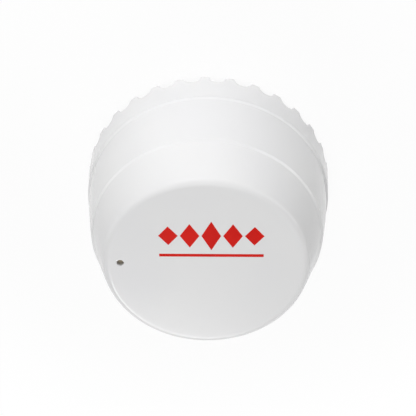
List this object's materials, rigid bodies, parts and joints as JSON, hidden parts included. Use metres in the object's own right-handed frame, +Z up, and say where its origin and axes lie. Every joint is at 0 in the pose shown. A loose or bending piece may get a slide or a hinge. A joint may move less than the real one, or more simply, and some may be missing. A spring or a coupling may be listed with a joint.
{
  "type": "water leak sensor",
  "caption": "Round floor-standing water leak sensor with a notched base, a stepped twist-off cap with a pinhole, probe screws underneath and a battery-powered radio board inside.",
  "frame": {"origin": "centre of the circle that the notched rim stands on", "axes": "+Z up out of the flat face, -X towards the pinhole, +Y towards the side that the picture was taken from"},
  "size_m": [0.068, 0.068, 0.038],
  "materials": {
    "white_abs": "satin moulded white",
    "seal_rubber": "matt black rubber",
    "clear_acrylic": "clear polished",
    "stainless_steel": "turned and polished",
    "board_green": "glass-epoxy board with green solder mask",
    "black_plastic": "moulded black",
    "cell_sleeve": "blue sleeve over a metal can",
    "nickel_plate": "bright nickel plate",
    "copper_wire": "enamelled copper",
    "sheet_metal": "drawn tinned steel",
    "red_lens": "tinted clear epoxy",
    "can_sleeve": "dark sleeve on an aluminium can",
    "chip_ceramic": "fired ceramic"
  },
  "bodies": {
    "base": {"base_housing": "white_abs", "probe_screws": "stainless_steel", "probe_seals": "seal_rubber", "probe_nuts": "stainless_steel", "circuit_board": "board_green", "battery_holder": "black_plastic", "battery_cell": "cell_sleeve", "positive_contact": "nickel_plate", "negative_spring": "nickel_plate", "radio_module": "sheet_metal", "antenna_coil": "copper_wire", "microcontroller": "black_plastic", "crystal": "sheet_metal", "capacitor": "can_sleeve", "sounder": "black_plastic", "alarm_transistor": "black_plastic", "status_led": "red_lens", "switch_body": "sheet_metal", "chip_components": "chip_ceramic"},
    "seal": {"seal_gasket": "seal_rubber"},
    "cap": {"cap_shell": "white_abs", "light_pipe": "clear_acrylic"},
    "button": {"pairing_button": "black_plastic"}
  },
  "joints": [
    {"name": "cap_rise", "type": "slide", "parent": "base", "child": "seal", "axis": [0, 0, 1], "range_m": [0, 0.002]},
    {"name": "cap_twist", "type": "hinge", "parent": "seal", "child": "cap", "pos_m": [0, 0, 0.0091], "axis": [0, 0, 1], "range_deg": [0, 45]},
    {"name": "button_press", "type": "slide", "parent": "base", "child": "button", "axis": [0, 0, -1], "range_m": [0, 0.0003], "stiffness_N_per_m": 400}
  ],
  "couplings": [
    {"joint": "cap_twist", "follows": "cap_rise", "rad_per_m": 392.7}
  ]
}
